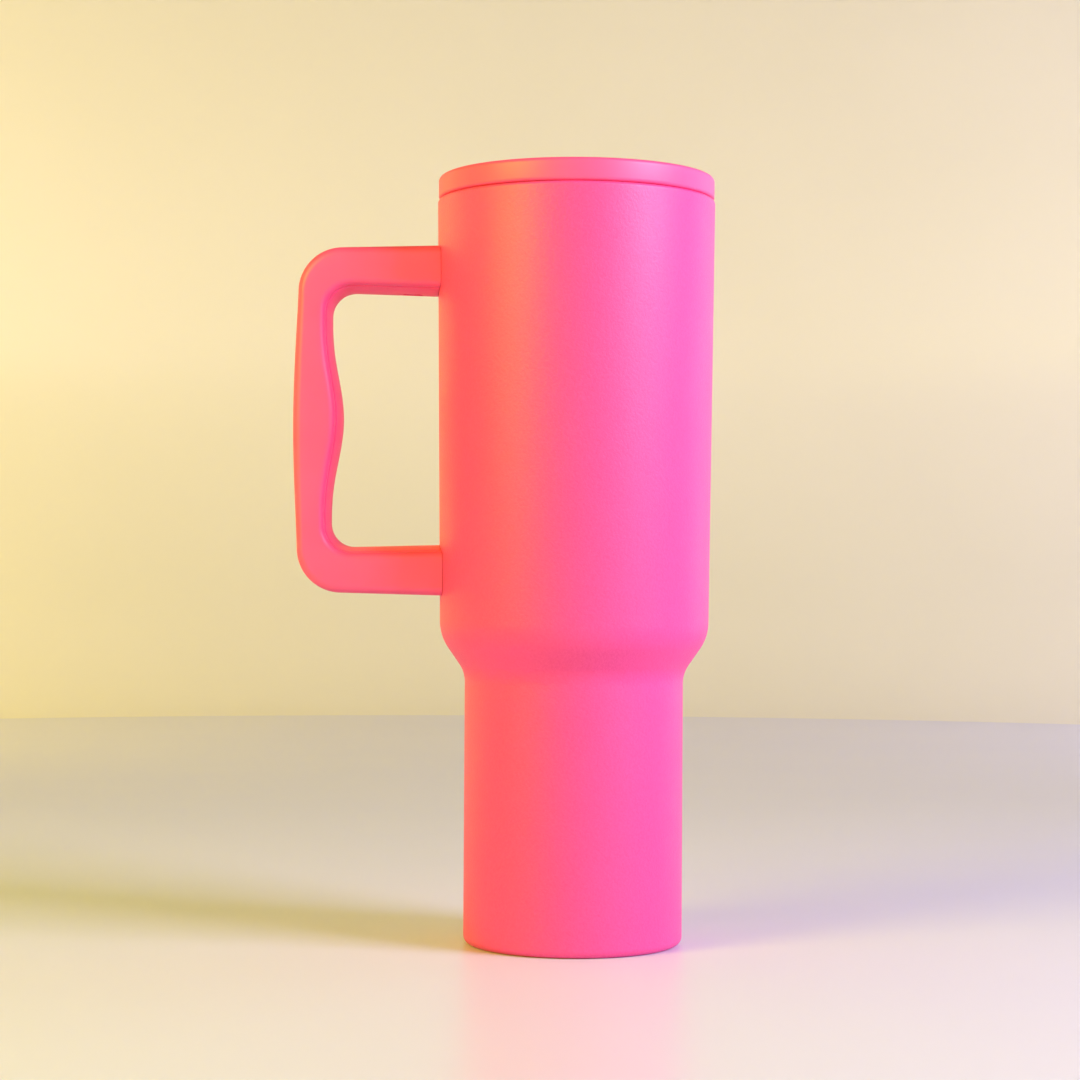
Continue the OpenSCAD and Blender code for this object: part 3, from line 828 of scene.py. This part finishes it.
def make_gasket():
    """Silicone ring with two rounded sealing lips."""
    low, high = gasket_low.z, gasket_high.z
    middle = (low + high) / 2
    inner, outer = groove_r + gasket_clear, gasket_high.x
    lip = 0.5
    notch = 0.25
    outline = [
        (inner, low, 0.1), (outer, low, lip), (outer, middle - notch, 0.2), (outer - lip, middle, 0.15),
        (outer, middle + notch, 0.2), (outer, high, lip), (inner, high, 0.1),
    ]
    place(lathe("gasket_ring", outline, steps=5), "gasket", "silicone", "lid_gasket")


def make_cover():
    """Disc that turns on the lid, with a window, a finger ridge and a stop lug."""
    cover_lift = 0.4
    cover_t = 2.2
    low = deck_top + cover_lift
    top = low + cover_t
    cover_r = cover_high.x
    cup_r = 9.2
    cup_floor_t = 1
    cup_floor = low + cup_floor_t
    bore_r = post_r + post_clear
    window_r = 7.5
    window_margin = 3.5
    window_near = straw[1]
    window_far = cover_r - window_r - window_margin
    body = lathe("cover", [
        (bore_r, low, 0.15), (cover_r, low, 0.3), (cover_r, top, 0.7),
        (cup_r, top, 0.35), (cup_r, cup_floor), (bore_r, cup_floor, 0.15),
    ])
    ridge_w = 6
    ridge_margin = 3
    ridge_x = -(cup_r + cover_r) / 2
    ridge_run = cover_r - cup_r - 2 * ridge_margin - ridge_w
    ridge_top = cover_high.z
    join(
        body,
        slot_solid("lug", (-stop_reach, 0), 0, [
            (cover_low.z, stop_r - 0.2), (cover_low.z + 0.2, stop_r), (low + sunk, stop_r),
        ]),
        slot_solid("ridge", (ridge_x, 0), ridge_run, [
            (top - sunk, 3.6), (top, 3.4), (top + 0.12, 3.1), (ridge_top - 0.35, 2.9),
            (ridge_top - 0.12, 2.7), (ridge_top, 2.3),
        ]),
    )
    cut(body, slot_solid("window", ((window_near + window_far) / 2, 0), window_far - window_near, [
        (low - cut_past, window_r + 0.2), (low, window_r + 0.2), (low + 0.2, window_r),
        (top - 0.5, window_r), (top - 0.25, window_r + 0.07), (top - 0.07, window_r + 0.25),
        (top, window_r + 0.5), (top + cut_past, window_r + 0.5),
    ]))
    place(body, "cover", "moulded_plastic", "rotating_cover")


def make_cap():
    """Button over the cover's screw, slightly domed."""
    low, high, r = cap_low.z, cap_high.z, cap_high.x
    # Hollow for the screw's head
    pan_r, pan_h = 2.9, 0.85
    outline = [
        (0, low + pan_h), (pan_r, low + pan_h), (pan_r, low), (r, low, 0.1), (r, high - 0.15, 0.5),
        (r * 0.5, high - 0.03, 3), (0, high),
    ]
    place(lathe("cap", outline), "lid", "moulded_plastic", "cover_cap")


make_shell()
make_liner()
make_base_cover()
make_handle()
make_lid()
make_gasket()
make_cover()
make_cap()

slot_of = {part["node"]: part["material_slot"] for part in frame["record"]["subparts"]}
for node, obj in frame["nodes"].items():
    if not obj.hide_render:
        dress(obj, slot_of[node])


# ---- Stage, lights and camera ------------------------------------------------------------------

def stage_material(name, low, high):
    finish = Finish(name).set(Specular_IOR_Level=0.4)
    finish.colour(finish.spread(finish.noise(3), 0, 1), low, high)
    finish.roughness(finish.spread(finish.noise(6), 0.30, 0.36))
    return finish.material


def make_stage():
    """A pale floor inside a round, curved backdrop, far enough out for every view."""
    floor_r, wall_r_out, wall_h, bend = 1250, 1600, 1700, 350
    floor_t, wall_t = 4, 10
    # The backdrop's inner edge runs a little under the floor's outer edge
    under, lap = 0.5, 5
    floor = lathe("floor", [(0, 0), (floor_r, 0), (floor_r, -floor_t), (0, -floor_t)], segments=128)
    floor.data.materials.append(stage_material("floor", (0.70, 0.70, 0.87), (0.72, 0.72, 0.89)))
    backdrop = lathe("backdrop", [
        (floor_r - lap, -under), (wall_r_out, -under, bend), (wall_r_out, wall_h),
        (wall_r_out + wall_t, wall_h), (wall_r_out + wall_t, -wall_t, bend + wall_t),
        (floor_r - lap, -wall_t),
    ], segments=128, steps=24)
    backdrop.data.materials.append(stage_material("backdrop", (0.83, 0.79, 0.70), (0.85, 0.81, 0.72)))


def softbox(name, azimuth, elevation, distance, size, light_rgb, aim=(0, 0, 0.14)):
    """An area light that faces a point, from an azimuth to the right of the camera.

    light_rgb is its power in watts in red, green and blue.
    """
    a, e = math.radians(azimuth), math.radians(elevation)
    away = Vector((math.sin(a) * math.cos(e), -math.cos(a) * math.cos(e), math.sin(e)))
    light = bpy.data.lights.new(name, "AREA")
    light.shape = "RECTANGLE"
    light.size, light.size_y = size
    light.energy = max(light_rgb)
    light.color = [c / light.energy for c in light_rgb]
    obj = bpy.data.objects.new(name, light)
    obj.location = Vector(aim) + away * distance
    obj.rotation_euler = (-away).to_track_quat("-Z", "Y").to_euler()
    obj.visible_camera = False
    bpy.context.scene.collection.objects.link(obj)


def make_lights():
    softbox("left_key", -50, 24, 1.1, (0.42, 0.42), (9.0, 8.4, 0.0))
    softbox("right_key", 61, 28, 1.1, (0.5, 0.42), (11.4, 10.6, 14.6))
    softbox("left_wall_wash", 0, 20, 0.9, (0.8, 0.8), (9.2, 7.2, 0.3), aim=(-1.2, 1.5, 0.15))
    softbox("right_wall_wash", 0, 20, 0.9, (0.8, 0.8), (5.8, 5.7, 9.5), aim=(1.2, 1.5, 0.15))
    world = bpy.data.worlds.new("world")
    bpy.context.scene.world = world
    world.use_nodes = True
    sky = world.node_tree.nodes["Background"]
    sky.inputs["Color"].default_value = (1, 0.9, 0.4, 1)
    sky.inputs["Strength"].default_value = 0.08


def make_camera():
    """The photograph's view: level with the tumbler's middle, a little to the left of its axis."""
    camera = bpy.data.cameras.new("camera")
    camera.lens = 81.3
    camera.sensor_width = 36
    obj = bpy.data.objects.new("camera", camera)
    obj.location = (-0.0117, -0.8288, 0.1277)
    obj.rotation_euler = (math.radians(90.6), -0.006, 0)
    bpy.context.scene.collection.objects.link(obj)
    bpy.context.scene.camera = obj


make_stage()
make_lights()
make_camera()
bpy.context.scene.view_settings.view_transform = "Standard"
